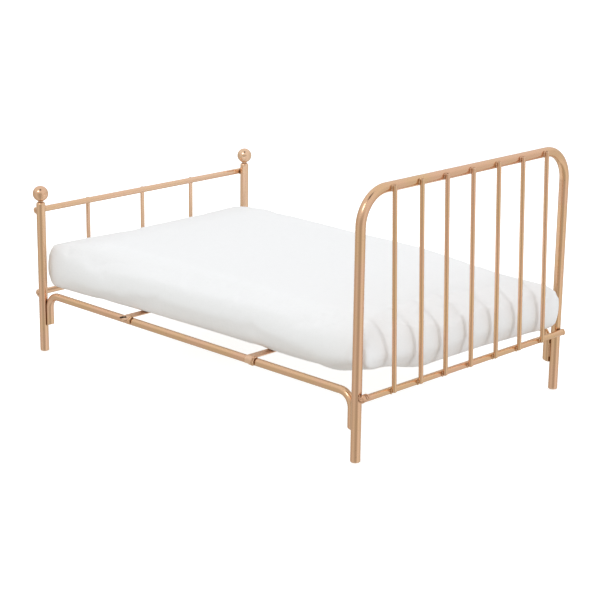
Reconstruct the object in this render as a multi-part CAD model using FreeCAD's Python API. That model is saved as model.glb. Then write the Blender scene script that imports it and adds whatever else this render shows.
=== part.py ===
import FreeCAD, Part
import math
import os

# Small welded bed: a bent-rod headboard, a footboard with ball finials, two side rails,
# two flat slats and a thin mattress.  Millimetres.  The origin is on the floor under the
# middle of the bed, +X points to the headboard, +Y to the sleeper's left, +Z up.

V = FreeCAD.Vector

# ---- driving dimensions --------------------------------------------------------------
LEG_D = 6.0            # headboard hoop and foot posts
RAIL_D = 5.0           # side rails
BAR_D = 4.0            # cross rods at head and foot
SPINDLE_D = 2.8        # upright wires
HALF_LENGTH = 144.0    # leg axes, from the middle of the bed
HALF_WIDTH = 94.0      # leg axes, from the centre line
BAR_PAST_LEG = 0.5     # cross rods end just past the leg axes
WELD_SINK = 0.25       # how far two welded rods melt into each other

HOOP_TOP_Z = 158.0     # axis of the hoop's top stretch
HOOP_BEND_R = 20.0     # axis radius of the hoop's corners
FOOT_ROUND = 0.7       # rounding of the legs' floor ends
HEAD_BAR_Z = 39.0
SPINDLE_COUNT = 7
SPINDLE_PITCH = 23.4
HAND_SET = {1: -0.6, 2: -0.6, 3: -1.8, 4: -1.6, 5: -1.1, 6: -1.2, 7: -1.1}   # off the even pitch
SPINDLE_TOP_REACH = 1.5    # spindle end above the hoop's top axis
SPINDLE_END_REACH = 0.5    # spindle end below the crossbar's axis
END_BREAK = 0.3            # bevel on cut rod ends

POST_TOP_Z = 103.6     # crown of the post's domed shoulder
POST_DOME_H = 1.6
SPIGOT_D = 3.4         # turned spigot that carries the ball
BALL_D = 10.4
BALL_Z = 109.2
SPIGOT_IN_BALL = 4.0
FOOT_RAIL_Z = 97.0
FOOT_BAR_Z = 39.8
FOOT_SPINDLES = 3
FOOT_SPINDLE_PITCH = 47.6
FOOT_HAND_SET = {2: 1.6}
FOOT_SPINDLE_TOP_REACH = 1.3
FOOT_SPINDLE_END_REACH = 0.5

SIDE_RAIL_Z = 40.0
SIDE_RAIL_INSET = 1.7  # side rails stand this far inside the leg axes
SIDE_RAIL_BEND_R = 9.0
SIDE_RAIL_END_Z = 18.0
SIDE_RAIL_SHEAR = 1.8  # the cut end is slanted by this much

SLAT_X = 57.0          # slat centres, either side of the middle
SLAT_W = 6.8
SLAT_T = 0.6
SLAT_TAIL_Z = 38.6     # lower edge of the turned-down ends
SNIP_FROM_Z = 39.4     # one end is snipped on a slant, from this height
SNIP_TO_Z = 42.2       # up to this one

MATTRESS_CLEARANCE = 0.3
MATTRESS_FOOT_X = -143.5
MATTRESS_HEAD_X = 147.0
MATTRESS_W = 178.0
MATTRESS_T = 35.4
MATTRESS_CORNER_R = 15.0
MATTRESS_EDGE_R = 14.0
COVER_T = 0.8

BEAD_R = 0.85          # weld beads
SLAT_BEAD_R = 0.7
RAIL_WELD_LENGTH = 8.0

# ---- places worked out from them -----------------------------------------------------
LEG_R = LEG_D / 2
RAIL_R = RAIL_D / 2
BAR_R = BAR_D / 2
SPINDLE_R = SPINDLE_D / 2
BAR_X = HALF_LENGTH + LEG_R + BAR_R - WELD_SINK
HALF_BAR = HALF_WIDTH + BAR_PAST_LEG
LEAN_TOP_X = HALF_LENGTH + LEG_R + SPINDLE_R - WELD_SINK
LEAN_FOOT_X = BAR_X + BAR_R + SPINDLE_R - WELD_SINK
SIDE_RAIL_Y = HALF_WIDTH - SIDE_RAIL_INSET
RAIL_TO_LEG = LEG_R + RAIL_R - WELD_SINK
SIDE_RAIL_X = HALF_LENGTH - math.sqrt(RAIL_TO_LEG ** 2 - SIDE_RAIL_INSET ** 2)
SLAT_TOP_Z = SIDE_RAIL_Z + RAIL_R + SLAT_T
MATTRESS_Z = SLAT_TOP_Z + MATTRESS_CLEARANCE


def save(name, shape):
    """Write one node; a list of solids becomes one compound."""
    if isinstance(shape, list):
        shape = Part.makeCompound(shape)
    assert shape.isValid(), name
    shape.exportStep("parts/" + name + ".step")


def rod(start, end, diameter, bevel=END_BREAK):
    """A straight round rod with bevelled ends."""
    axis = end - start
    solid = Part.makeCylinder(diameter / 2, axis.Length, start, axis)
    rims = [e for e in solid.Edges if isinstance(e.Curve, Part.Circle)]
    return solid.makeChamfer(bevel, rims)


def sweep(path, diameter):
    """A round rod along a chain of straight and arc edges."""
    wire = Part.Wire(path)
    start = wire.Edges[0]
    normal = start.tangentAt(start.FirstParameter)
    ring = Part.makeCircle(diameter / 2, start.valueAt(start.FirstParameter), normal)
    return wire.makePipeShell([Part.Wire(ring)], True, True)


def staple(a, b, c, d, radius, u, w):
    """Edges of a path a-b-c-d with rounded corners at b and c.
    u is the direction from b to c and w the direction from b to a, and from c to d."""
    mid = radius * (1 - math.sqrt(0.5))
    arc_b = Part.Arc(b + w * radius, b + (u + w) * mid, b + u * radius)
    arc_c = Part.Arc(c - u * radius, c + (w - u) * mid, c + w * radius)
    return [
        Part.makeLine(a, b + w * radius),
        arc_b.toShape(),
        Part.makeLine(b + u * radius, c - u * radius),
        arc_c.toShape(),
        Part.makeLine(c + w * radius, d),
    ]


def round_foot(solid, radius):
    """Round the rims that stand on the floor."""
    rims = [e for e in solid.Edges if e.BoundBox.ZMax < 0.001]
    return solid.makeFillet(radius, rims)


def headboard_hoop():
    y = HALF_WIDTH
    x = HALF_LENGTH
    path = staple(V(x, -y, 0), V(x, -y, HOOP_TOP_Z), V(x, y, HOOP_TOP_Z), V(x, y, 0),
                  HOOP_BEND_R, V(0, 1, 0), V(0, 0, -1))
    return round_foot(sweep(path, LEG_D), FOOT_ROUND)


def spindle_y(number):
    """Side position of headboard spindle 1 to 7, counted from the right."""
    middle = (SPINDLE_COUNT + 1) / 2
    return (number - middle) * SPINDLE_PITCH + HAND_SET[number]


def lean_x(z):
    """X of a headboard spindle's axis, which leans from the crossbar in to the hoop."""
    share = (z - HEAD_BAR_Z) / (HOOP_TOP_Z - HEAD_BAR_Z)
    return LEAN_FOOT_X + (LEAN_TOP_X - LEAN_FOOT_X) * share


def headboard_spindle(number):
    y = spindle_y(number)
    low = HEAD_BAR_Z - SPINDLE_END_REACH
    high = HOOP_TOP_Z + SPINDLE_TOP_REACH
    return rod(V(lean_x(low), y, low), V(lean_x(high), y, high), SPINDLE_D)


def cross_rod(x, z):
    return rod(V(x, -HALF_BAR, z), V(x, HALF_BAR, z), BAR_D, 0.6)


def footboard_post(side):
    """Rod with a domed shoulder and a turned spigot that enters the ball."""
    x = -HALF_LENGTH
    y = side * HALF_WIDTH
    post = Part.makeCylinder(LEG_R, POST_TOP_Z, V(x, y, 0))
    crown = [e for e in post.Edges if e.BoundBox.ZMin > POST_TOP_Z - 0.001]
    post = round_foot(post.makeFillet(POST_DOME_H, crown), FOOT_ROUND)
    spigot_top = BALL_Z - BALL_D / 2 + SPIGOT_IN_BALL
    spigot = Part.makeCylinder(SPIGOT_D / 2, spigot_top - POST_TOP_Z + POST_DOME_H,
                               V(x, y, POST_TOP_Z - POST_DOME_H))
    return post.fuse(spigot).removeSplitter()


def ball_finial(side):
    """Polished ball with a blind hole for the post's spigot."""
    centre = V(-HALF_LENGTH, side * HALF_WIDTH, BALL_Z)
    ball = Part.makeSphere(BALL_D / 2, centre)
    hole_base = centre - V(0, 0, BALL_D)
    hole = Part.makeCylinder(SPIGOT_D / 2, BALL_D / 2 + SPIGOT_IN_BALL, hole_base)
    return ball.cut(hole)


def foot_spindle_y(number):
    """Side position of footboard spindle 1 to 3, counted from the right."""
    middle = (FOOT_SPINDLES + 1) / 2
    return (number - middle) * FOOT_SPINDLE_PITCH + FOOT_HAND_SET.get(number, 0.0)


def footboard_spindle(number):
    y = foot_spindle_y(number)
    low = V(-LEAN_FOOT_X, y, FOOT_BAR_Z - FOOT_SPINDLE_END_REACH)
    high = V(-LEAN_FOOT_X, y, FOOT_RAIL_Z + FOOT_SPINDLE_TOP_REACH)
    return rod(low, high, SPINDLE_D)


def side_rail(side):
    """Rod with both ends bent down along the legs, the cut ends slanted."""
    y = side * SIDE_RAIL_Y
    x = SIDE_RAIL_X
    end = SIDE_RAIL_END_Z
    path = staple(V(-x, y, end), V(-x, y, SIDE_RAIL_Z), V(x, y, SIDE_RAIL_Z), V(x, y, end),
                  SIDE_RAIL_BEND_R, V(1, 0, 0), V(0, 0, -1))
    rail = sweep(path, RAIL_D)
    for sign in (-1, 1):
        outer = sign * (x + RAIL_R)
        inner = sign * (x - RAIL_R)
        corners = [V(outer, y, end), V(inner, y, end), V(inner, y, end + SIDE_RAIL_SHEAR)]
        wedge = Part.Face(Part.makePolygon(corners + corners[:1]))
        wedge.translate(V(0, -RAIL_D, 0))
        rail = rail.cut(wedge.extrude(V(0, 2 * RAIL_D, 0)))
    return rail


def slat(x):
    """Flat strip across both side rails, its ends wrapped round them and turned down."""
    inner = RAIL_R
    outer = RAIL_R + SLAT_T
    y = SIDE_RAIL_Y
    z = SIDE_RAIL_Z
    slant = math.sqrt(0.5)

    def at(side, radius, across, up):
        return V(x - SLAT_W / 2, side * (y + radius * across), z + radius * up)

    def bend(side, radius):
        return Part.Arc(at(side, radius, 0, 1), at(side, radius, slant, slant),
                        at(side, radius, 1, 0)).toShape()

    def tail(side, radius):
        return V(x - SLAT_W / 2, side * (y + radius), SLAT_TAIL_Z)

    edges = [
        Part.makeLine(at(-1, outer, 0, 1), at(1, outer, 0, 1)),
        bend(1, outer),
        Part.makeLine(at(1, outer, 1, 0), tail(1, outer)),
        Part.makeLine(tail(1, outer), tail(1, inner)),
        Part.makeLine(tail(1, inner), at(1, inner, 1, 0)),
        bend(1, inner),
        Part.makeLine(at(1, inner, 0, 1), at(-1, inner, 0, 1)),
        bend(-1, inner),
        Part.makeLine(at(-1, inner, 1, 0), tail(-1, inner)),
        Part.makeLine(tail(-1, inner), tail(-1, outer)),
        Part.makeLine(tail(-1, outer), at(-1, outer, 1, 0)),
        bend(-1, outer),
    ]
    outline = Part.Wire(Part.__sortEdges__(edges))
    return Part.Face(outline).extrude(V(SLAT_W, 0, 0))


def snipped_end(strip, x):
    """Cut the strip's right turned-down end on a slant."""
    y = -SIDE_RAIL_Y - RAIL_R * 0.6
    low = V(x - SLAT_W / 2, y, SNIP_FROM_Z)
    high = V(x + SLAT_W / 2, y, SNIP_TO_Z)
    drop = V(0, 0, SNIP_FROM_Z - SNIP_TO_Z - RAIL_D)
    corners = [low, high, high + drop, low + drop]
    face = Part.Face(Part.makePolygon(corners + corners[:1]))
    return strip.cut(face.extrude(V(0, -RAIL_D, 0)))


def mattress_block(inset):
    """Rounded slab, drawn in by inset on every side."""
    length = MATTRESS_HEAD_X - MATTRESS_FOOT_X
    corner = V(MATTRESS_FOOT_X + inset, -MATTRESS_W / 2 + inset, MATTRESS_Z + inset)
    slab = Part.makeBox(length - 2 * inset, MATTRESS_W - 2 * inset, MATTRESS_T - 2 * inset, corner)
    uprights = [e for e in slab.Edges if e.BoundBox.ZLength > 1]
    slab = slab.makeFillet(MATTRESS_CORNER_R - inset, uprights)
    rims = [e for e in slab.Edges if e.BoundBox.ZLength < 0.001]
    return slab.makeFillet(MATTRESS_EDGE_R - inset, rims)


def bead(x, y, z, radius=BEAD_R):
    return Part.makeSphere(radius, V(x, y, z))


def beads_beside_spindle(contact_x, y, z):
    """A bead in the groove on each side of an upright where it crosses a rod."""
    return [bead(contact_x, y + side * SPINDLE_R * 0.85, z) for side in (-1, 1)]


def crossing_beads(contact_x, spindles, z, leg_contact_x):
    """Beads at every upright on a rod, and under the rod at both legs."""
    solids = []
    for y in spindles:
        solids += beads_beside_spindle(contact_x, y, z)
    if leg_contact_x:
        for side in (-1, 1):
            solids.append(bead(leg_contact_x, side * HALF_WIDTH, z - BAR_R * 0.8))
    return solids


def side_rail_beads():
    """A short weld run in the groove between each rail end and its leg, on the inside."""
    solids = []
    for end in (-1, 1):
        for side in (-1, 1):
            leg = V(end * HALF_LENGTH, side * HALF_WIDTH, 0)
            tail = V(end * SIDE_RAIL_X, side * SIDE_RAIL_Y, 0)
            towards = (tail - leg).normalize()
            inward = V(towards.y, -towards.x, 0)
            if inward.y * side > 0:
                inward = inward * -1
            groove = leg + towards * LEG_R + inward * 1.3
            base = groove + V(0, 0, SIDE_RAIL_END_Z + 4)
            top = base + V(0, 0, RAIL_WELD_LENGTH)
            run = Part.makeCylinder(BEAD_R, RAIL_WELD_LENGTH, base)
            caps = [Part.makeSphere(BEAD_R, base), Part.makeSphere(BEAD_R, top)]
            solids.append(run.fuse(caps))
    return solids


def slat_beads():
    """A bead on the rail at each turned-down slat end; higher at the snipped one."""
    y = SIDE_RAIL_Y + RAIL_R - 0.3
    solids = []
    for end in (-1, 1):
        for side in (-1, 1):
            snipped = end == side == -1
            z = (SNIP_FROM_Z + SNIP_TO_Z) / 2 if snipped else SLAT_TAIL_Z + 1.0
            solids.append(bead(end * SLAT_X, side * y, z, SLAT_BEAD_R))
    return solids


def main():
    os.makedirs("parts", exist_ok=True)

    save("headboard_hoop", headboard_hoop())
    save("headboard_crossbar", cross_rod(BAR_X, HEAD_BAR_Z))
    head_spindles = range(1, SPINDLE_COUNT + 1)
    for number in head_spindles:
        save("headboard_spindle_%d" % number, headboard_spindle(number))

    for name, side in (("right", -1), ("left", 1)):
        save("footboard_post_" + name, footboard_post(side))
        save("ball_finial_" + name, ball_finial(side))
        save("side_rail_" + name, side_rail(side))
    save("footboard_top_rail", cross_rod(-BAR_X, FOOT_RAIL_Z))
    save("footboard_lower_bar", cross_rod(-BAR_X, FOOT_BAR_Z))
    foot_spindles = range(1, FOOT_SPINDLES + 1)
    for number in foot_spindles:
        save("footboard_spindle_%d" % number, footboard_spindle(number))

    save("slat_head_end", slat(SLAT_X))
    save("slat_foot_end", snipped_end(slat(-SLAT_X), -SLAT_X))

    core = mattress_block(COVER_T)
    save("mattress_core", core)
    save("mattress_cover", mattress_block(0).cut(core))

    leg_face = HALF_LENGTH + LEG_R
    bar_face = BAR_X + BAR_R
    head_ys = [spindle_y(number) for number in head_spindles]
    foot_ys = [foot_spindle_y(number) for number in foot_spindles]
    save("welds_hoop_top", crossing_beads(leg_face, head_ys, HOOP_TOP_Z, None))
    save("welds_head_crossbar", crossing_beads(bar_face, head_ys, HEAD_BAR_Z, leg_face))
    save("welds_foot_top_rail", crossing_beads(-bar_face, foot_ys, FOOT_RAIL_Z, -leg_face))
    save("welds_foot_lower_bar", crossing_beads(-bar_face, foot_ys, FOOT_BAR_Z, -leg_face))
    save("welds_side_rails", side_rail_beads())
    save("welds_slats", slat_beads())


main()
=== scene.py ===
import math

import bmesh
import bpy
from mathutils import Matrix, Vector, noise


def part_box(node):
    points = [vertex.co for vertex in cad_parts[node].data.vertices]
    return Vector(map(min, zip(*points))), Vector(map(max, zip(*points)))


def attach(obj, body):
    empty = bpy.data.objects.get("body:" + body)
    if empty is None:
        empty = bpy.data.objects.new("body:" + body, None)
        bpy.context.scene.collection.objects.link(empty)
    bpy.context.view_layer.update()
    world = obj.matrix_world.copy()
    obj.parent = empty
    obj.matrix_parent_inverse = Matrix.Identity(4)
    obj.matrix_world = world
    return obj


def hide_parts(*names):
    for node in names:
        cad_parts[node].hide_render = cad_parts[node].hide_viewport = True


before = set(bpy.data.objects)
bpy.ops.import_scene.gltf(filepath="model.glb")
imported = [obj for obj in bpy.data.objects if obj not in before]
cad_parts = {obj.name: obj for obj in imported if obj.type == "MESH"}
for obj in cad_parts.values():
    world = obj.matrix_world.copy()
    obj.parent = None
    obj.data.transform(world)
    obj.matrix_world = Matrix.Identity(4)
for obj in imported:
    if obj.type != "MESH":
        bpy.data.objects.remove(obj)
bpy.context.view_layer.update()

MM = 0.001
HEAD_UPRIGHTS = ["headboard_spindle_%d" % number for number in range(1, 8)]
FOOT_UPRIGHTS = ["footboard_spindle_%d" % number for number in range(1, 4)]

# ---- mattress: the stuffed shape before the cover is puffed out -----------------------
WALL_STEPS = 18             # rows of points from the bottom edge to the top edge
OUTLINE_STEP = 4 * MM       # spacing of the points round the outline
SIDE_ROLL = 15 * MM         # how far the walls roll in towards the top edge
HEAD_ROLL = 16 * MM
FOOT_ROLL = 12 * MM
SQUARE_ROLL = 4.5 * MM      # at the right foot corner, which is nearly square
SQUARE_REACH = 55 * MM      # that corner's length along each wall
SQUARE_OUT = 2 * MM         # it also stands out towards the foot
SIDE_TUCK_FOOT = 1.5 * MM   # how far the walls tuck under towards the bottom edge
SIDE_TUCK_HEAD = 13 * MM
LEFT_TUCK = 4 * MM
HEAD_TUCK = 4 * MM
FOOT_TUCK = 6 * MM
BELLY_SIDE = 0.27           # height of the widest line, as a share of the thickness
BELLY_HEAD = 0.35
BELLY_SQUARE = 0.43
BELLY_BLEND = 0.85          # share of the length where the head end's belly begins
PUFF_ROOM = 0.6 * MM        # the shell starts this much smaller all round
HEAD_ROOM = 1.4 * MM        # and this much shorter at the head end, clear of the spindles
VOXEL = 2.4 * MM
PUFF_FRAMES = 20
PUFF_PRESSURE = 4.0
PUFF_CAP = 1.6 * MM
CLOTH_STEPS = 5
COVER_STIFFNESS = 2.0
COVER_SLACK = 0.015         # spare cloth in the cover, as a share of its size
FOOT_SINK = 3.6 * MM        # the stuffing thins towards the foot end
FOOT_THIN = 45 * MM         # over this length
SQUARE_SINK = 1.8 * MM      # and a little more at its right corner
SQUARE_FROM = -40 * MM      # from this place across
TOP_WAVES = 0.5 * MM
TOP_WAVE_SCALE = 14         # waves in a metre
HEAD_SAG = 2.4 * MM         # the head end droops past the last slat
SAG_ALONG = (75 * MM, 140 * MM)
CORNER_SINK = 5.5 * MM      # the stuffing is thin at the left corner of the head end
SINK_ALONG = (35 * MM, 135 * MM)
SINK_ACROSS = (-45 * MM, 80 * MM)
CORNER_LIFT = 7 * MM        # the right corner of the head end curls up underneath
LIFT_ALONG = (108 * MM, 145 * MM)
LIFT_ACROSS = (-25 * MM, -72 * MM)
CORNER_DRAW = 1.5 * MM      # and its wall is drawn back
DRAW_FROM = 110 * MM
DRAW_ACROSS = (-25 * MM, -85 * MM)
EAR_REACH = 22 * MM         # the left corner of the head end stands out as a pointed ear
EAR_TIP_OUT = 1.5 * MM      # the ear's tip, past the mattress box
CREASE_RIDGE = 0.35         # height of the ridge beside a crease, as a share of its depth
RIDGE_PLACE = 1.8           # its place, in crease widths from the crease's line
CREASE_REACH = 3.5          # where it has died away
THREAD = 0.5 * MM           # thread pitch of the cotton
WALL_FALL = 8 * MM          # the cloth's map turns down the walls this far below the top

# ---- welds ----------------------------------------------------------------------------
LEG_RADIUS = 3 * MM
BEAD_RADIUS = 0.62 * MM
BEAD_SPACING = 0.8 * MM
BEAD_WOBBLE = 0.35 * MM
BEAD_VOXEL = 0.17 * MM
GROOVE_RUN = 0.9 * MM       # half length of a run beside an upright
GROOVE_REACH = 0.85         # its place, as a share of the upright's radius
TIP_REACH = 0.3             # half length of a run over a cut end, as a share of its width
TIP_OUT = 0.4 * MM          # that run's place, out from the hoop's face and up from its axis
TIP_UP = 1.6 * MM
LEG_RUN = 1.6 * MM          # half length of a run under a cross rod
LEG_RUN_UP = 0.5 * MM       # its height over the rod's underside
CAP_RING = 1.7 * MM         # the weld's rings over the cut end of a cross rod
CAP_CORE = 0.8 * MM
CAP_DOME = 0.5 * MM         # how far the inner ring stands out
CAP_SIDES = 12
RIPPLES = 3                 # ripples of weld over the right end of the headboard's crossbar
RIPPLE_FIRST = 0.6 * MM
RIPPLE_PITCH = 1.5 * MM
RIPPLE_RADIUS = 2.1 * MM
RIPPLE_OUT = 1.8 * MM       # the ripples' centre, out from the leg's face
END_RUN_OUT = 0.2 * MM      # the run up the crossbar's right end: out from the leg's face,
END_RUN_PAST = 0.6 * MM     # past the rod's end, and up from its underside
END_RUN_UP = 1 * MM
RAIL_INSET = 0.85 * MM      # the rail welds' runs, in from the corners of their box
RAIL_AXIS_Z = 40 * MM
STRIP_WRAP = 3.1 * MM       # outer radius of a strip where it wraps its rail
LIP_PLACES = (-0.9 * MM, 0.3 * MM)      # the two lips, from the strip's edge
TAIL_RUN = 3 * MM           # length of the dab under a strip's cut end
TAIL_INSET = 0.5 * MM
# A dark sliver of weld metal stands in as painted shadow in the gap under the snipped strip end
SHADOW_SLIVER_RADIUS = 0.55 * MM
SHADOW_SLIVER_SEED = 9
# Both ends of the dark sliver of painted shadow, from the rail's axis at the edge of the snipped strip
SHADOW_SLIVER_ENDS = ((-2.0 * MM, -2.5 * MM, 1.2 * MM), (2.8 * MM, -2.2 * MM, 2.7 * MM))

# ---- closing seam under the mattress --------------------------------------------------
STITCH_LENGTH = 2.6 * MM
STITCH_PITCH = 4.3 * MM
STITCH_SLANT = 0.5          # radians; each stitch crosses the seam at a slant
STITCH_THREAD = 0.32 * MM
SEAM_FOOT = -128 * MM
SEAM_HEAD = 68 * MM
SEAM_SEED = 5

# ---- studio ---------------------------------------------------------------------------
STAGE_HALF = 8.0
FLOOR_GAP = 0.2 * MM
FLOOR_TONE = 0.9
FLOOR_GLOW = 0.45
BACKDROP_TONE = 0.0         # the backdrop only glows
BACKDROP_GLOW = 1.0
COOL_WHITE = (0.96, 0.985, 1.0)         # colour of the lamps
LAMP_AIM = (0, 0, 60 * MM)
CEILING_TONE = 0.90         # brightness of the studio overhead
CEILING_FROM = 0.05         # height of a direction where the ceiling takes over from the walls
CEILING_FULL = 0.60
# A bright panel and a dark gap overhead: degrees right, degrees up, half width, brightness
KEY_PANEL = (-32, 42, 11, 5.0)
DARK_GAP = (10, 68, 15, 0.08)
SPOT_CORE = 0.6             # share of a panel's width that has its full brightness
WARM_SHADE = (1.0, 0.985, 0.90, 1)      # tint of the walls where they are darkest
# Brightness of the studio walls, by degrees to the right of the way from bed to camera
WALL_TONES = {-180: 0.65, -120: 0.60, -88: 0.63, -65: 0.74, -45: 0.74, -27: 0.60, -4: 0.50,
              12: 0.50, 30: 0.68, 47: 0.92, 65: 0.90, 88: 0.79, 130: 0.70, 180: 0.65}

# ---- camera ---------------------------------------------------------------------------
CAMERA_PLACE = (0.7885, -0.8037, 0.3746)
CAMERA_TURN = 44.21         # degrees to the left of straight along +Y
CAMERA_DIP = 16.2
CAMERA_ROLL = 0.77
CAMERA_LENS = 107.1
CAMERA_SENSOR = 36
CAMERA_NEAR = 0.01


# ---- shader and geometry node helpers -------------------------------------------------
class Signal:
    """A node's output that takes part in Python arithmetic; every step adds a Math node."""

    def __init__(self, nodes, socket):
        self.nodes = nodes
        self.socket = socket

    def maths(self, operation, *values):
        return self.nodes.add("ShaderNodeMath", {"operation": operation}, dict(enumerate(values)))

    def __add__(self, other):
        return self.maths("ADD", self, other)

    def __sub__(self, other):
        return self.maths("SUBTRACT", self, other)

    def __rsub__(self, other):
        return self.maths("SUBTRACT", other, self)

    def __mul__(self, other):
        return self.maths("MULTIPLY", self, other)

    __radd__ = __add__
    __rmul__ = __mul__


class Nodes:
    """Adds nodes to one tree and joins them."""

    def __init__(self, tree):
        self.tree = tree

    def add(self, kind, settings=None, inputs=None, output=0):
        """Makes one node and gives one of its outputs, or all of them if output is None."""
        node = self.tree.nodes.new(kind)
        for name, value in (settings or {}).items():
            if name == "stops":
                self.set_stops(node.color_ramp.elements, value)
            else:
                setattr(node, name, value)
        for name, value in (inputs or {}).items():
            self.feed(node.inputs[name], value)
        if output is None:
            return [Signal(self, socket) for socket in node.outputs]
        return Signal(self, node.outputs[output])

    def set_stops(self, elements, stops):
        """Fills a colour ramp from pairs of place and grey tone."""
        while len(elements) < len(stops):
            elements.new(0.5)
        for element, (place, tone) in zip(elements, stops):
            element.position = place
            element.color = (tone, tone, tone, 1)

    def feed(self, socket, value):
        """Links a signal to a socket, or sets the socket to a value."""
        if isinstance(value, Signal):
            self.tree.links.new(value.socket, socket)
        else:
            socket.default_value = value

    def between(self, value, low, high):
        """0 below low, 1 above high, eased between."""
        return self.add("ShaderNodeMapRange", {"interpolation_type": "SMOOTHSTEP"},
                        {"Value": value, "From Min": low, "From Max": high})

    def scaled(self, vector, factors):
        """A vector with each part times its own factor."""
        return self.add("ShaderNodeVectorMath", {"operation": "MULTIPLY"}, {0: vector, 1: factors})

    def grain(self, vector, scale, detail=2.0):
        """Noise from 0 to 1."""
        return self.add("ShaderNodeTexNoise", {}, {"Vector": vector, "Scale": scale, "Detail": detail})

    def mixed(self, share, first, second, blend="MIX"):
        """First colour at 0, second at 1."""
        return self.add("ShaderNodeMix", {"data_type": "RGBA", "blend_type": blend},
                        {0: share, 6: first, 7: second}, 2)

    def split(self, vector):
        """A vector's X, Y and Z."""
        return self.add("ShaderNodeSeparateXYZ", {}, {0: vector}, None)


class Finish(Nodes):
    """A material with one Principled surface."""

    def __init__(self, name):
        self.material = bpy.data.materials.new(name)
        self.material.use_nodes = True
        super().__init__(self.material.node_tree)
        self.surface = self.tree.nodes["Principled BSDF"]

    def place(self):
        """Where the point lies on the bed, in metres."""
        return self.add("ShaderNodeTexCoord", output="Object")

    def set(self, **values):
        """Sets or links the surface's sockets; Base_Color means Base Color."""
        for name, value in values.items():
            self.feed(self.surface.inputs[name.replace("_", " ")], value)
        return self.material

    def bumped(self, height, strength, distance):
        return self.add("ShaderNodeBump", {}, {"Height": height, "Strength": strength,
                                               "Distance": distance})


# ---- metal finishes -------------------------------------------------------------------
PINK_GOLD = (0.80, 0.50, 0.33, 1)
YELLOW_GOLD = (0.78, 0.51, 0.30, 1)
PALE_GOLD = (0.89, 0.62, 0.44, 1)
# Dark brown of plating pits and weld soot, also used as painted shade in the gaps between pieces
PITS_SOOT_AND_SHADE_BROWN = (0.17, 0.075, 0.03, 1)
PAINTED_SHADOW_DARK = (0.035, 0.022, 0.014, 1)
WORN_PLATE = (0.80, 0.60, 0.44, 1)
PAINTED_REFLECTION_FROM = -60 * MM        # Y less X where the painted reflection starts to make the plating paler
PAINTED_REFLECTION_FULL = 240 * MM
HOOP_BEND = 22 * MM         # the hoop turns sideways this far below its top
BEND_BLEND = 16 * MM
NEVER_WORN = 10.0           # a place past the end of any rod
WORN_EDGE = 0.5 * MM        # width over which a rubbed end fades


def painted_crevice_shade(nodes, reach):
    """Painted shade: 1 where another surface is closer than reach, 0 in the open; the colour is
    darkened there.
    """
    open_share = nodes.add("ShaderNodeAmbientOcclusion", {"samples": 8}, {"Distance": reach}, "AO")
    return nodes.between(1.0 - open_share, 0.12, 0.75)


def plate_tone(nodes, place):
    """Plating that drifts from pinker to yellower, with a painted reflection that makes it paler
    towards the left foot corner.
    """
    drift = nodes.between(nodes.grain(place, 45.0, 1.0), 0.35, 0.65)
    x, y, _ = nodes.split(place)
    # painted reflection: the posts towards the left foot corner are painted paler, as if mirroring
    # more white
    pale = nodes.between(y - x, PAINTED_REFLECTION_FROM, PAINTED_REFLECTION_FULL)
    return nodes.mixed(pale * 0.7, nodes.mixed(drift, PINK_GOLD, YELLOW_GOLD), PALE_GOLD)


def brushing(nodes, place, run):
    """Fine polishing lines that follow the rod; the hoop's turn sideways along its top."""
    fine, long = 3200.0, 130.0
    upright = nodes.grain(nodes.scaled(place, (fine, fine, long)), 1.0)
    if run == "Z":
        return upright
    if run == "X":
        return nodes.grain(nodes.scaled(place, (long, fine, fine)), 1.0)
    sideways = nodes.grain(nodes.scaled(place, (fine, long, fine)), 1.0)
    if run == "Y":
        return sideways
    bend_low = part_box("headboard_hoop")[1].z - HOOP_BEND
    over = nodes.between(nodes.split(place)[2], bend_low, bend_low + BEND_BLEND)
    return upright * (1.0 - over) + sideways * over


def satin_metal(name, run, roughness, worn_axis, worn_low, worn_high=NEVER_WORN,
                reach=1.7 * MM, pale=0.0):
    """Plated metal, with painted shade where another piece is within reach, polished along its run.
    Its ends, outside worn_low to worn_high along worn_axis, are rubbed brighter."""
    finish = Finish(name)
    place = finish.place()
    lines = brushing(finish, place, run)
    blasted = finish.grain(place, 2600.0)
    pits = finish.between(finish.grain(place, 900.0, 1.0), 0.70, 0.78)
    dark = painted_crevice_shade(finish, reach)
    along = finish.split(place)["XYZ".index(worn_axis)] + (blasted - 0.5) * (0.8 * MM)
    worn = 1.0 - finish.between(along, worn_low - WORN_EDGE, worn_low)
    worn = worn + finish.between(along, worn_high, worn_high + WORN_EDGE)
    colour = finish.mixed(pale, plate_tone(finish, place), PALE_GOLD)
    colour = finish.mixed(worn * 0.6, colour, WORN_PLATE)
    colour = finish.mixed(pits * 0.25, colour, PITS_SOOT_AND_SHADE_BROWN)
    # painted shade: darker where another piece is close
    colour = finish.mixed(dark * 0.85, colour, PITS_SOOT_AND_SHADE_BROWN)
    height = lines * 0.6 + blasted * 0.5 - pits
    return finish.set(
        Base_Color=colour,
        Metallic=1.0,
        Roughness=roughness + (lines - 0.5) * 0.14 + (blasted - 0.5) * 0.10 + dark * 0.2,
        Normal=finish.bumped(height, 0.16, 0.03 * MM),
    )


def polished_metal(name):
    """Mirror plate on the turned balls, with hairline turning marks and a few rubbed spots."""
    finish = Finish(name)
    place = finish.place()
    turning = finish.grain(finish.scaled(place, (220.0, 220.0, 5200.0)), 1.0)
    clouds = finish.grain(place, 420.0)
    # painted shade: darker where another piece is close
    dark = painted_crevice_shade(finish, 1.4 * MM)
    colour = finish.mixed(dark * 0.9, plate_tone(finish, place), PITS_SOOT_AND_SHADE_BROWN)
    return finish.set(
        Base_Color=colour,
        Metallic=1.0,
        Roughness=0.11 + (turning - 0.5) * 0.05 + finish.between(clouds, 0.45, 0.75) * 0.10,
        Normal=finish.bumped(turning, 0.08, 0.01 * MM),
    )


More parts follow.
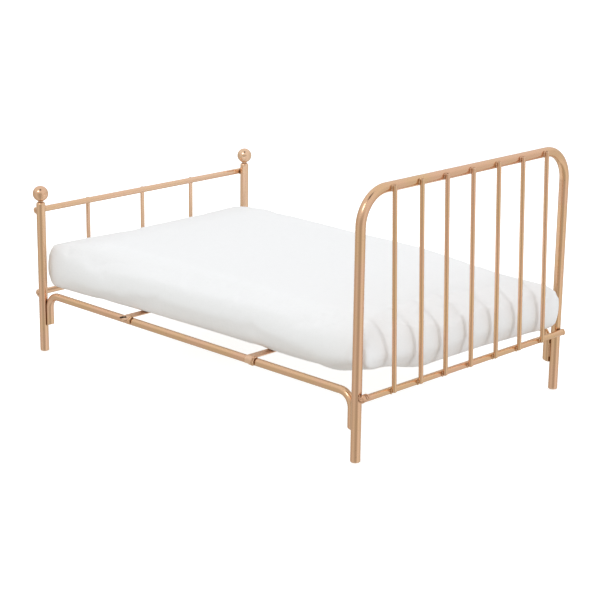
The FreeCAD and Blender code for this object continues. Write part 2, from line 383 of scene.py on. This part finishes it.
def weld_metal(name):
    """Plated weld bead: lumpy, with browner soot in random patches, and painted shade in its valleys
    and at its foot.
    """
    finish = Finish(name)
    place = finish.place()
    lumps = finish.grain(place, 1400.0, 3.0)
    soot = finish.between(finish.grain(place, 620.0), 0.52, 0.72)
    dark = painted_crevice_shade(finish, 1.2 * MM)
    colour = finish.mixed(soot * 0.55, plate_tone(finish, place), PITS_SOOT_AND_SHADE_BROWN)
    # painted shade: darker in the bead's valleys and at its foot
    colour = finish.mixed(dark * 0.7, colour, PITS_SOOT_AND_SHADE_BROWN)
    return finish.set(
        Base_Color=colour,
        Metallic=1.0,
        Roughness=0.34 + lumps * 0.2,
        Normal=finish.bumped(lumps, 0.5, 0.12 * MM),
    )


def scorched_metal(name):
    """Painted shadow: dark brown and dull, with lighter brown specks."""
    finish = Finish(name)
    specks = finish.between(finish.grain(finish.place(), 1800.0), 0.6, 0.75)
    colour = finish.mixed(specks * 0.6, PAINTED_SHADOW_DARK, PITS_SOOT_AND_SHADE_BROWN)
    return finish.set(Base_Color=colour, Metallic=0.6, Roughness=0.6,
                      Normal=finish.bumped(specks, 0.5, 0.08 * MM))


# ---- cloth finishes -------------------------------------------------------------------
COTTON_WHITE = (0.893, 0.90, 0.912, 1)
COTTON_SHADE = (0.79, 0.80, 0.81, 1)


def cotton(name):
    """Bleached plain-weave cotton. Its map gives the cloth's own width and length in metres."""
    finish = Finish(name)
    cloth = finish.add("ShaderNodeUVMap", {"uv_map": "cloth"})
    across, along, _ = finish.split(cloth)
    place = finish.place()
    sway = (finish.grain(place, 160.0) - 0.5) * (0.8 * MM)
    turn = math.pi / THREAD
    warp_wave = ((across + sway) * turn).maths("SINE")
    weft_wave = ((along + sway) * turn).maths("SINE")
    warp = 1.0 - warp_wave * warp_wave
    weft = 1.0 - weft_wave * weft_wave
    over = finish.between(warp_wave * weft_wave, -0.25, 0.25)
    weave = warp * over + weft * (1.0 - over)
    slubs = finish.grain(finish.scaled(cloth, (2600.0, 160.0, 1.0)), 1.0)
    slubs = slubs + finish.grain(finish.scaled(cloth, (160.0, 2600.0, 1.0)), 1.0)
    # painted shade between the threads of the weave, together with the slubs' own tone
    shade = (1.0 - weave) * 0.35 + finish.between(slubs, 0.9, 1.3) * 0.25
    colour = finish.mixed(shade, COTTON_WHITE, COTTON_SHADE)
    crinkle = finish.grain(place, 75.0, 3.0)
    height = weave * 0.05 + slubs * 0.04 + crinkle
    return finish.set(
        Base_Color=colour,
        Roughness=0.88 - weave * 0.06,
        Normal=finish.bumped(height, 0.35, 0.6 * MM),
        Sheen_Weight=0.12,
        Sheen_Roughness=0.5,
        Specular_IOR_Level=0.25,
    )


def thread_finish(name):
    """Twisted white sewing thread."""
    finish = Finish(name)
    place = finish.place()
    twist = finish.grain(finish.scaled(place, (2500.0, 6000.0, 2500.0)), 1.0)
    colour = finish.mixed(finish.between(twist, 0.4, 0.7) * 0.5, COTTON_WHITE, COTTON_SHADE)
    return finish.set(Base_Color=colour, Roughness=0.8, Normal=finish.bumped(twist, 0.4, 0.05 * MM))


# ---- meshes ---------------------------------------------------------------------------
def ease(value, low, high):
    """0 at low, 1 at high, eased between; low may be the larger."""
    share = min(1.0, max(0.0, (value - low) / (high - low)))
    return share * share * (3 - 2 * share)


def finished(mesh, finish):
    """Gives the whole mesh one finish and smooth shading."""
    mesh.materials.clear()
    mesh.materials.append(finish)
    mesh.shade_smooth()


def new_piece(name, mesh, finish):
    """Puts a mesh in the scene as a piece with one finish."""
    finished(mesh, finish)
    piece = bpy.data.objects.new(name, mesh)
    bpy.context.scene.collection.objects.link(piece)
    return piece


def evaluated_mesh(piece):
    """A plain copy of the piece's mesh with its modifiers worked out."""
    view = bpy.context.evaluated_depsgraph_get()
    return bpy.data.meshes.new_from_object(piece.evaluated_get(view))


# ---- pieces made by geometry nodes ----------------------------------------------------
def node_tree(name, inputs):
    """A geometry tree with named inputs; gives its nodes, its inputs as signals and their keys."""
    tree = bpy.data.node_groups.new(name, "GeometryNodeTree")
    tree.interface.new_socket("Geometry", in_out="INPUT", socket_type="NodeSocketGeometry")
    tree.interface.new_socket("Geometry", in_out="OUTPUT", socket_type="NodeSocketGeometry")
    keys = {}
    for label, kind in inputs.items():
        socket = tree.interface.new_socket(label, in_out="INPUT", socket_type="NodeSocket" + kind)
        keys[label] = socket.identifier
    nodes = Nodes(tree)
    given = {signal.socket.name: signal for signal in nodes.add("NodeGroupInput", output=None)}
    return nodes, given, keys


def ended(nodes, geometry, finish):
    """Closes a tree: smooth, real geometry in one finish."""
    smooth = nodes.add("GeometryNodeSetShadeSmooth", {}, {"Geometry": geometry})
    real = nodes.add("GeometryNodeRealizeInstances", {}, {"Geometry": smooth})
    painted = nodes.add("GeometryNodeSetMaterial", {}, {"Geometry": real, "Material": finish})
    nodes.add("NodeGroupOutput", {}, {"Geometry": painted}, None)


def grown(name, lines, nodes, keys, values):
    """Runs a tree on polylines and keeps the result as a plain piece."""
    points = [point for line in lines for point in line]
    edges = []
    first = 0
    for line in lines:
        edges += [(first + n, first + n + 1) for n in range(len(line) - 1)]
        first += len(line)
    mesh = bpy.data.meshes.new(name + "_lines")
    mesh.from_pydata(points, edges, [])
    seed = bpy.data.objects.new(name + "_lines", mesh)
    bpy.context.scene.collection.objects.link(seed)
    modifier = seed.modifiers.new("grow", "NODES")
    modifier.node_group = nodes.tree
    for label, value in values.items():
        modifier[keys[label]] = value
    result = evaluated_mesh(seed)
    result.name = name
    bpy.data.objects.remove(seed)
    return new_piece(name, result, values["Finish"])


def bead_tree():
    """Lumpy weld metal along polylines."""
    nodes, given, keys = node_tree("weld_bead", {
        "Radius": "Float", "Spacing": "Float", "Wobble": "Float", "Voxel": "Float",
        "Seed": "Int", "Finish": "Material"})
    curve = nodes.add("GeometryNodeMeshToCurve", {}, {"Mesh": given["Geometry"]})
    drops = nodes.add("GeometryNodeResampleCurve", {"mode": "LENGTH"},
                      {"Curve": curve, "Length": given["Spacing"]})
    points = nodes.add("GeometryNodeCurveToPoints", {"mode": "EVALUATED"}, {"Curve": drops})
    size = nodes.add("FunctionNodeRandomValue", {"data_type": "FLOAT"},
                     {2: 0.8, 3: 1.2, "Seed": given["Seed"]}, 1)
    metal = nodes.add("GeometryNodePointsToVolume", {"resolution_mode": "VOXEL_SIZE"},
                      {"Points": points, "Voxel Size": given["Voxel"],
                       "Radius": size * given["Radius"]})
    skin = nodes.add("GeometryNodeVolumeToMesh", {"resolution_mode": "GRID"}, {"Volume": metal})
    place = nodes.add("GeometryNodeInputPosition")
    lumps = nodes.grain(place, 900.0, 1.0)
    normal = nodes.add("GeometryNodeInputNormal")
    push = nodes.add("ShaderNodeVectorMath", {"operation": "SCALE"},
                     {0: normal, "Scale": (lumps - 0.5) * given["Wobble"]})
    rough = nodes.add("GeometryNodeSetPosition", {}, {"Geometry": skin, "Offset": push})
    ended(nodes, rough, given["Finish"])
    return nodes, keys


def groove_runs(upright, rod_z, face_x):
    """A short run in the groove on each side of an upright where it crosses a rod."""
    low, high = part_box(upright)
    y = (low.y + high.y) / 2
    reach = (high.y - low.y) / 2 * GROOVE_REACH
    return [[Vector((face_x, y + side * reach, rod_z - GROOVE_RUN)),
             Vector((face_x, y + side * reach, rod_z + GROOVE_RUN))] for side in (-1, 1)]


def tip_run(upright, face_x, z):
    """A small run over the cut end of an upright."""
    low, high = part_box(upright)
    y = (low.y + high.y) / 2
    reach = (high.y - low.y) * TIP_REACH
    return [Vector((face_x, y - reach, z)), Vector((face_x, y + reach, z))]


def arc_run(x, y, z, radius, turns):
    """A run bent round the line along Y through x and z."""
    return [Vector((x + radius * math.cos(turn), y, z + radius * math.sin(turn))) for turn in turns]


def cap_runs(rod):
    """Rings of weld over both cut ends of a cross rod, where it meets the legs."""
    low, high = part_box(rod)
    x = (low.x + high.x) / 2
    z = (low.z + high.z) / 2
    turns = [math.tau * n / CAP_SIDES for n in range(CAP_SIDES + 1)]
    runs = []
    for end in (low.y, high.y):
        for radius, step in ((CAP_RING, 0.0), (CAP_CORE, CAP_DOME)):
            runs.append(arc_run(x, end + math.copysign(step, end), z, radius, turns))
    return runs


def leg_run(leg, rod):
    """A run along the underside of a cross rod where it touches a leg's outer face."""
    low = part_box(leg)[0]
    y = low.y + LEG_RADIUS
    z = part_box(rod)[0].z + LEG_RUN_UP
    return [Vector((low.x, y - LEG_RUN, z)), Vector((low.x, y + LEG_RUN, z))]


def ripple_runs(rod, leg):
    """Ripples of weld laid over a cross rod's right end from the leg's face, and one up its end."""
    low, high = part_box(rod)
    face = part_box(leg)[1].x
    z = (low.z + high.z) / 2
    turns = [math.radians(150 - 22 * n) for n in range(7)]
    runs = [arc_run(face + RIPPLE_OUT, low.y + RIPPLE_FIRST + RIPPLE_PITCH * ripple, z,
                    RIPPLE_RADIUS, turns) for ripple in range(RIPPLES)]
    end_x = face + END_RUN_OUT
    end_y = low.y - END_RUN_PAST
    runs.append([Vector((end_x, end_y, low.z + END_RUN_UP)), Vector((end_x, end_y, high.z))])
    return runs


def rail_runs():
    """The run down the inner groove between each side rail's end and its leg."""
    low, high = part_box("welds_side_rails")
    return [[Vector((x, y, low.z + RAIL_INSET)), Vector((x, y, high.z - RAIL_INSET))]
            for x in (low.x + RAIL_INSET, high.x - RAIL_INSET)
            for y in (low.y + RAIL_INSET, high.y - RAIL_INSET)]


def strip_runs():
    """Two lips of weld over each strip where it wraps a rail, and a dab under its cut end."""
    turns = [math.radians(15 * n - 15) for n in range(8)]
    runs = []
    for strip in ("slat_head_end", "slat_foot_end"):
        low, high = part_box(strip)
        rail_y = high.y - STRIP_WRAP
        for side in (-1, 1):
            for place in LIP_PLACES:
                runs.append([Vector((high.x + place, side * (rail_y + STRIP_WRAP * math.cos(turn)),
                                     RAIL_AXIS_Z + STRIP_WRAP * math.sin(turn))) for turn in turns])
            snipped = strip == "slat_foot_end" and side < 0
            if not snipped:
                tail = side * (high.y - TAIL_INSET)
                runs.append([Vector((high.x - TAIL_RUN, tail, low.z)), Vector((high.x, tail, low.z))])
    return runs


def shadow_sliver_run():
    """A dark sliver painted as the shadow in the gap beside the snipped strip end, on the face of the
    right rail.
    """
    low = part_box("slat_foot_end")[0]
    rail_y = low.y + STRIP_WRAP
    return [Vector((low.x + x, rail_y + y, RAIL_AXIS_Z + z)) for x, y, z in SHADOW_SLIVER_ENDS]


def stitch_tree():
    """Short slanted stitches along a line."""
    nodes, given, keys = node_tree("seam_stitch", {
        "Pitch": "Float", "Length": "Float", "Thread": "Float", "Slant": "Float", "Seed": "Int",
        "Finish": "Material"})
    curve = nodes.add("GeometryNodeMeshToCurve", {}, {"Mesh": given["Geometry"]})
    holes = nodes.add("GeometryNodeResampleCurve", {"mode": "LENGTH"},
                      {"Curve": curve, "Length": given["Pitch"]})
    ball = nodes.add("GeometryNodeMeshUVSphere", {},
                     {"Segments": 8, "Rings": 5, "Radius": given["Thread"] * 0.5})
    stretch = nodes.add("ShaderNodeCombineXYZ", {},
                        {0: given["Length"] * (1 / STITCH_THREAD), 1: 1.0, 2: 1.0})
    thread = nodes.add("GeometryNodeTransform", {}, {"Geometry": ball, "Scale": stretch})
    sway = nodes.add("FunctionNodeRandomValue", {"data_type": "FLOAT"},
                     {2: 0.7, 3: 1.3, "Seed": given["Seed"]}, 1)
    turn = nodes.add("ShaderNodeCombineXYZ", {}, {2: sway * given["Slant"]})
    laid = nodes.add("GeometryNodeInstanceOnPoints", {},
                     {"Points": holes, "Instance": thread, "Rotation": turn})
    ended(nodes, laid, given["Finish"])
    return nodes, keys


def make_seam():
    """The seam that closes the cover, lengthwise under the mattress."""
    nodes, keys = stitch_tree()
    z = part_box("mattress_cover")[0].z
    line = [Vector((SEAM_FOOT, 0, z)), Vector((SEAM_HEAD, 0, z))]
    seam = grown("cover_seam_stitches", [line], nodes, keys, {
        "Pitch": STITCH_PITCH, "Length": STITCH_LENGTH, "Thread": STITCH_THREAD,
        "Slant": STITCH_SLANT, "Seed": SEAM_SEED, "Finish": thread_finish("white_thread")})
    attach(seam, "mattress")


def headboard_rows():
    """Weld runs along the hoop's top and along the crossbar."""
    hoop_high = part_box("headboard_hoop")[1]
    hoop_z = hoop_high.z - LEG_RADIUS
    bar_low, bar_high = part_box("headboard_crossbar")
    bar_z = (bar_low.z + bar_high.z) / 2
    hoop_runs = []
    bar_runs = cap_runs("headboard_crossbar") + ripple_runs("headboard_crossbar", "headboard_hoop")
    for upright in HEAD_UPRIGHTS:
        hoop_runs += groove_runs(upright, hoop_z, hoop_high.x)
        hoop_runs.append(tip_run(upright, hoop_high.x + TIP_OUT, hoop_z + TIP_UP))
        bar_runs += groove_runs(upright, bar_z, bar_high.x)
    return {"hoop_top": hoop_runs, "head_crossbar": bar_runs}


def footboard_runs(rod):
    """Weld runs on one cross rod of the footboard."""
    low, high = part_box(rod)
    runs = cap_runs(rod)
    for upright in FOOT_UPRIGHTS:
        runs += groove_runs(upright, (low.z + high.z) / 2, low.x)
    for leg in ("footboard_post_right", "footboard_post_left"):
        runs.append(leg_run(leg, rod))
    return runs


def beaded(name, runs, tree, radius, seed, finish, stands_for=None):
    """Weld metal grown along runs."""
    beads = grown(name, runs, *tree, {
        "Radius": radius, "Spacing": BEAD_SPACING, "Wobble": BEAD_WOBBLE,
        "Voxel": BEAD_VOXEL, "Seed": seed, "Finish": finish})
    if stands_for:
        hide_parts(stands_for)
    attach(beads, "frame")


def make_welds():
    """A piece of beads for each row of welds, and the dark sliver of painted shadow."""
    tree = bead_tree()
    finish = weld_metal("weld_bead")
    rows = headboard_rows()
    rows["foot_top_rail"] = footboard_runs("footboard_top_rail")
    rows["foot_lower_bar"] = footboard_runs("footboard_lower_bar")
    rows["side_rails"] = rail_runs()
    rows["slats"] = strip_runs()
    for seed, (row, runs) in enumerate(rows.items()):
        beaded("weld_beads_" + row, runs, tree, BEAD_RADIUS, seed, finish, "welds_" + row)
    # the dark sliver is painted shadow under the snipped strip end
    beaded("weld_scorch", [shadow_sliver_run()], tree, SHADOW_SLIVER_RADIUS, SHADOW_SLIVER_SEED,
           scorched_metal("scorched_metal"))


# ---- mattress -------------------------------------------------------------------------
def wall_point(base, lo, hi, angle):
    """Moves a point on the box's outline in to where the wall stands, bottom -90 to top 90."""
    span = hi - lo
    along = (base.x - lo.x) / span.x
    across = (base.y - lo.y) / span.y
    lean = 1 - math.cos(angle)
    square = 1 - ease(max(base.x - lo.x, base.y - lo.y), 0.0, SQUARE_REACH)
    if angle > 0:
        right = SIDE_ROLL + (SQUARE_ROLL - SIDE_ROLL) * square
        foot = FOOT_ROLL + (SQUARE_ROLL - FOOT_ROLL) * square
        head = HEAD_ROLL
        left = SIDE_ROLL
    else:
        right = SIDE_TUCK_FOOT + (SIDE_TUCK_HEAD - SIDE_TUCK_FOOT) * ease(along, 0.0, 1.0)
        foot = FOOT_TUCK
        head = HEAD_TUCK
        left = LEFT_TUCK
    belly = BELLY_SIDE + (BELLY_SQUARE - BELLY_SIDE) * square
    belly += (BELLY_HEAD - BELLY_SIDE) * ease(along, BELLY_BLEND, 1.0)
    middle = lo.z + belly * span.z
    height = (hi.z - middle if angle > 0 else middle - lo.z) * math.sin(angle)
    x = lo.x + foot * lean + (span.x - (foot + head) * lean) * along - SQUARE_OUT * square
    y = lo.y + right * lean + (span.y - (right + left) * lean) * across
    return Vector((x, y, middle + height))


def box_outline(lo, hi):
    """Evenly spaced points round the box: right side, head end, left side, foot end."""
    corners = [Vector(corner) for corner in
               ((lo.x, lo.y), (hi.x, lo.y), (hi.x, hi.y), (lo.x, hi.y))]
    points = []
    for start, end in zip(corners, corners[1:] + corners[:1]):
        count = round((end - start).length / OUTLINE_STEP)
        points += [start.lerp(end, number / count) for number in range(count)]
    return points


def mattress_shell(lo, hi):
    """Closed stuffed slab: rounded walls between a flat bottom and a flat top."""
    shell = bmesh.new()
    rings = []
    for step in range(WALL_STEPS + 1):
        angle = math.pi * (step / WALL_STEPS - 0.5)
        ring = [wall_point(base, lo, hi, angle) for base in box_outline(lo, hi)]
        rings.append([shell.verts.new(point) for point in ring])
    count = len(rings[0])
    for lower, upper in zip(rings, rings[1:]):
        for n in range(count):
            m = (n + 1) % count
            shell.faces.new((lower[n], lower[m], upper[m], upper[n]))
    shell.faces.new(rings[-1])
    shell.faces.new(list(reversed(rings[0])))
    bmesh.ops.recalc_face_normals(shell, faces=shell.faces)
    mesh = bpy.data.meshes.new("mattress")
    shell.to_mesh(mesh)
    shell.free()
    return mesh


def evenly_meshed(piece):
    """Replaces the piece's mesh by an even one of small squares."""
    remesh = piece.modifiers.new("even", "REMESH")
    remesh.mode = "VOXEL"
    remesh.voxel_size = VOXEL
    mesh = evaluated_mesh(piece)
    piece.modifiers.clear()
    piece.data = mesh


def puffed(piece):
    """Blows the cloth cover out with air pressure; no point moves further than the cap."""
    scene = bpy.context.scene
    rest = [vertex.co.copy() for vertex in piece.data.vertices]
    cloth = piece.modifiers.new("cover", "CLOTH")
    cloth.settings.quality = CLOTH_STEPS
    cloth.settings.use_pressure = True
    cloth.settings.uniform_pressure_force = PUFF_PRESSURE
    cloth.settings.effector_weights.gravity = 0
    cloth.settings.shrink_min = -COVER_SLACK
    cloth.settings.bending_stiffness = COVER_STIFFNESS
    cloth.point_cache.frame_start = 1
    cloth.point_cache.frame_end = PUFF_FRAMES
    for number in range(1, PUFF_FRAMES + 1):
        scene.frame_set(number)
    view = bpy.context.evaluated_depsgraph_get()
    blown = [vertex.co.copy() for vertex in piece.evaluated_get(view).data.vertices]
    piece.modifiers.clear()
    scene.frame_set(1)
    for vertex, start, end in zip(piece.data.vertices, rest, blown):
        move = end - start
        if move.length > PUFF_CAP:
            move = move.normalized() * PUFF_CAP
        vertex.co = start + move


def shaped(piece, lo, hi):
    """Gives the stuffed slab its own sags and drawn corners."""
    thickness = hi.z - lo.z
    for vertex in piece.data.vertices:
        point = vertex.co
        share = max(0.0, (point.z - lo.z) / thickness)
        to_foot = ease(point.x, lo.x + FOOT_THIN, lo.x)
        sink = CORNER_SINK * ease(point.x, *SINK_ALONG) * ease(point.y, *SINK_ACROSS)
        sink += to_foot * (FOOT_SINK + SQUARE_SINK * ease(point.y, SQUARE_FROM, lo.y))
        ripple = Vector((point.x * TOP_WAVE_SCALE, point.y * TOP_WAVE_SCALE, 3.0))
        wave = noise.noise(ripple) * TOP_WAVES
        point.z += (wave - sink) * share
        at_head = ease(point.x, DRAW_FROM, hi.x)
        point.x -= CORNER_DRAW * at_head * ease(point.y, *DRAW_ACROSS)
        corner = ease(point.y, *LIFT_ACROSS)
        lift = CORNER_LIFT * ease(point.x, *LIFT_ALONG) * corner
        sag = HEAD_SAG * ease(point.x, *SAG_ALONG) * (1 - corner)
        point.z = max(point.z, lo.z) + (lift - sag) * (1 - ease(share, 0.0, 0.7))


def ear_drawn(piece, lo, hi):
    """Draws the cover out to a pointed ear at the left corner of the head end."""
    tip = hi.xy + Vector((EAR_TIP_OUT, EAR_TIP_OUT))
    thickness = hi.z - lo.z
    for vertex in piece.data.vertices:
        gap = (vertex.co.xy - hi.xy).length
        if gap < EAR_REACH:
            share = (vertex.co.z - lo.z) / thickness
            height = ease(share, -0.4, 0.4) * (1 - 0.6 * ease(share, 0.65, 1.0))
            vertex.co.xy = vertex.co.xy.lerp(tip, height * (1 - gap / EAR_REACH) ** 1.5)


def gap_to(point, path):
    """Distance from a point to the nearest stretch of a path."""
    gaps = []
    for start, end in zip(path, path[1:]):
        run = end - start
        share = min(1.0, max(0.0, (point - start).dot(run) / run.length_squared))
        gaps.append((point - start - run * share).length)
    return min(gaps)


def creased(piece, stops, depth, width):
    """Presses a crease into the cover along a line, with a soft ridge on each side."""
    path = [piece.closest_point_on_mesh(Vector(stop))[1] for stop in stops]
    for vertex in piece.data.vertices:
        across = gap_to(vertex.co, path) / width
        if across < CREASE_REACH:
            ridge = CREASE_RIDGE * math.exp(-(across - RIDGE_PLACE) ** 2)
            vertex.co -= vertex.normal * depth * (math.exp(-across * across) - ridge)


def pulled_tight(piece, lo, hi):
    """The crease beside each corner of the head end."""
    on_side = [(0.136, lo.y, 0.074), (0.134, lo.y, 0.060), (0.133, lo.y, 0.046)]
    creased(piece, on_side, 1.1 * MM, 1.8 * MM)
    on_end = [(hi.x, 0.081, 0.069), (hi.x, 0.079, 0.057), (hi.x, 0.076, 0.046)]
    creased(piece, on_end, 1.2 * MM, 2.2 * MM)


def lay_cloth_map(piece, lo, hi):
    """Cloth coordinates in metres: flat on top and bottom, and unrolled down the walls."""
    layer = piece.data.uv_layers.new(name="cloth")
    top = hi.z - WALL_FALL
    for loop in piece.data.loops:
        vertex = piece.data.vertices[loop.vertex_index]
        point = vertex.co
        down = max(0.0, top - point.z)
        normal = vertex.normal
        u = point.x + math.copysign(down * abs(normal.x) ** 0.5, point.x)
        v = point.y + math.copysign(down * abs(normal.y) ** 0.5, point.y)
        layer.data[loop.index].uv = (u, v)


def make_mattress():
    """The stuffed cover with its core inside, as one padded piece."""
    lo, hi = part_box("mattress_cover")
    low_room = Vector((PUFF_ROOM,) * 3)
    high_room = Vector((HEAD_ROOM, PUFF_ROOM, PUFF_ROOM))
    white = cotton("white_cotton")
    piece = new_piece("mattress", mattress_shell(lo + low_room, hi - high_room), white)
    evenly_meshed(piece)
    puffed(piece)
    shaped(piece, lo, hi)
    ear_drawn(piece, lo, hi)
    pulled_tight(piece, lo, hi)
    lay_cloth_map(piece, lo, hi)
    finished(piece.data, white)
    fuller = piece.modifiers.new("smooth", "SUBSURF")
    fuller.levels = 1
    fuller.render_levels = 1
    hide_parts("mattress_cover", "mattress_core")
    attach(piece, "mattress")


# ---- stage, light and camera ----------------------------------------------------------
def staged(name, mesh, tone, glow):
    """A sheet of the stage: seen by the camera only, so the metal mirrors the studio instead."""
    finish = Finish(name)
    finish.set(Base_Color=(tone, tone, tone, 1), Roughness=0.9,
               Emission_Color=(1, 1, 1, 1), Emission_Strength=glow)
    sheet = new_piece(name, mesh, finish.material)
    sheet.visible_glossy = False
    sheet.visible_diffuse = False
    sheet.visible_shadow = False


def make_stage():
    """A white floor, and a white wall all round it."""
    corners = [(-STAGE_HALF, -STAGE_HALF), (STAGE_HALF, -STAGE_HALF),
               (STAGE_HALF, STAGE_HALF), (-STAGE_HALF, STAGE_HALF)]
    low = [(x, y, -FLOOR_GAP) for x, y in corners]
    high = [(x, y, STAGE_HALF) for x, y in corners]
    floor = bpy.data.meshes.new("floor")
    floor.from_pydata(low, [], [(0, 1, 2, 3)])
    staged("floor", floor, FLOOR_TONE, FLOOR_GLOW)
    walls = bpy.data.meshes.new("backdrop")
    sides = [(n, n + 4, (n + 1) % 4 + 4, (n + 1) % 4) for n in range(4)]
    walls.from_pydata(low + high, [], sides)
    staged("backdrop", walls, BACKDROP_TONE, BACKDROP_GLOW)


def softbox(name, place, size, power):
    """A square lamp aimed at the bed, not seen in the metal."""
    lamp = bpy.data.lights.new(name, "AREA")
    lamp.shape = "RECTANGLE"
    lamp.size = size
    lamp.size_y = size
    lamp.energy = power
    lamp.color = COOL_WHITE
    holder = bpy.data.objects.new(name, lamp)
    bpy.context.scene.collection.objects.link(holder)
    holder.location = place
    holder.visible_glossy = False
    holder.rotation_euler = (Vector(LAMP_AIM) - Vector(place)).to_track_quat("-Z", "Y").to_euler()


def heading(right, height):
    """The direction so many degrees right of the way to the camera, and above level."""
    turn = math.radians(CAMERA_TURN - 90 + right)
    rise = math.radians(height)
    return (math.cos(turn) * math.cos(rise), math.sin(turn) * math.cos(rise), math.sin(rise))


def make_studio():
    """Soft light from all round: grey walls, a pale ceiling, one bright panel and one dark gap."""
    world = bpy.data.worlds.new("studio")
    world.use_nodes = True
    bpy.context.scene.world = world
    nodes = Nodes(world.node_tree)
    direction = nodes.add("ShaderNodeTexCoord", output="Generated")
    east, north, up = nodes.split(direction)
    turn = math.radians(CAMERA_TURN)
    towards = east * math.sin(turn) - north * math.cos(turn)
    aside = east * math.cos(turn) + north * math.sin(turn)
    round_walls = aside.maths("ARCTAN2", aside, towards) * (0.5 / math.pi) + 0.5
    stops = [(degrees / 360 + 0.5, tone) for degrees, tone in WALL_TONES.items()]
    walls = nodes.add("ShaderNodeValToRGB", {"stops": stops}, {"Fac": round_walls})
    ceiling = nodes.between(up, CEILING_FROM, CEILING_FULL)
    warmth = nodes.mixed(nodes.between(walls, 0.5, 0.9), WARM_SHADE, (1, 1, 1, 1))
    walls = nodes.mixed(1.0, walls, warmth, "MULTIPLY")
    tone = nodes.mixed(ceiling, walls, (CEILING_TONE,) * 3 + (1,))
    for right, height, width, brightness in (KEY_PANEL, DARK_GAP):
        middle = heading(right, height)
        nearness = nodes.add("ShaderNodeVectorMath", {"operation": "DOT_PRODUCT"},
                             {0: direction, 1: middle}, "Value")
        spot = nodes.between(nearness, math.cos(math.radians(width)),
                             math.cos(math.radians(width * SPOT_CORE)))
        tone = nodes.mixed(spot, tone, (brightness,) * 3 + (1,))
    nodes.feed(world.node_tree.nodes["Background"].inputs["Color"], tone)


def make_lamps():
    """Lamps that light the cotton; the metal mirrors only the studio's walls."""
    softbox("overhead", place=(0.0, 0.2, 1.5), size=2.2, power=3.0)
    softbox("front", place=(0.5, -1.3, 0.9), size=1.0, power=2.8)
    softbox("head_side", place=(1.4, 0.0, 0.33), size=0.16, power=2.1)


def make_camera():
    """A long lens from the head end's right corner."""
    turn = math.radians(CAMERA_TURN)
    dip = math.radians(CAMERA_DIP)
    roll = math.radians(CAMERA_ROLL)
    ahead = Vector((-math.sin(turn) * math.cos(dip), math.cos(turn) * math.cos(dip), -math.sin(dip)))
    right = Vector((math.cos(turn), math.sin(turn), 0))
    up = right.cross(ahead)
    across = right * math.cos(roll) + up * math.sin(roll)
    upward = up * math.cos(roll) - right * math.sin(roll)
    camera = bpy.data.objects.new("camera", bpy.data.cameras.new("camera"))
    bpy.context.scene.collection.objects.link(camera)
    axes = Matrix((across, upward, -ahead)).transposed().to_4x4()
    camera.matrix_world = Matrix.Translation(CAMERA_PLACE) @ axes
    camera.data.lens = CAMERA_LENS
    camera.data.sensor_width = CAMERA_SENSOR
    camera.data.clip_start = CAMERA_NEAR
    bpy.context.scene.camera = camera


# ---- the object -----------------------------------------------------------------------
def paint(names, material):
    """Puts a finish on CAD nodes."""
    for name in names:
        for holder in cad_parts[name].material_slots:
            holder.material = material


def rubbed_ends(name, node, axis, rub, roughness):
    """Satin metal for rods along an axis, rubbed bright at both cut ends like this node's."""
    low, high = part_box(node)
    index = "XYZ".index(axis)
    return satin_metal(name, axis, roughness, axis, low[index] + rub, high[index] - rub)


def paint_rods():
    """Legs and side rails are rubbed at their feet; cross rods and uprights at both ends."""
    legs = satin_metal("satin_leg", "hoop", 0.21, "Z", worn_low=1.2 * MM)
    paint(["headboard_hoop", "footboard_post_right", "footboard_post_left"], legs)
    cross = rubbed_ends("satin_cross_rod", "headboard_crossbar", "Y", 0.8 * MM, 0.21)
    paint(["headboard_crossbar", "footboard_top_rail", "footboard_lower_bar"], cross)
    paint(HEAD_UPRIGHTS, rubbed_ends("satin_head_wire", "headboard_spindle_4", "Z", 0.5 * MM, 0.20))
    paint(FOOT_UPRIGHTS, rubbed_ends("satin_foot_wire", "footboard_spindle_1", "Z", 0.5 * MM, 0.20))
    rail_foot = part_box("side_rail_right")[0].z
    rail = satin_metal("satin_side_rail", "X", 0.21, "Z", worn_low=rail_foot + 1.6 * MM)
    paint(["side_rail_right", "side_rail_left"], rail)


def paint_strips():
    """The flat strips are duller and paler than the rods."""
    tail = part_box("slat_head_end")[0].z
    strip = satin_metal("satin_strip", "Y", 0.40, "Z", worn_low=tail + 0.6 * MM,
                        reach=0.25 * MM, pale=0.7)
    paint(["slat_head_end", "slat_foot_end"], strip)


def paint_balls():
    """The finials are smoother than the rods."""
    paint(["ball_finial_right", "ball_finial_left"], polished_metal("polished_ball"))


bpy.context.scene.view_settings.view_transform = "Standard"
make_camera()
make_stage()
make_studio()
make_lamps()
paint_rods()
paint_strips()
paint_balls()
make_welds()
make_seam()
make_mattress()
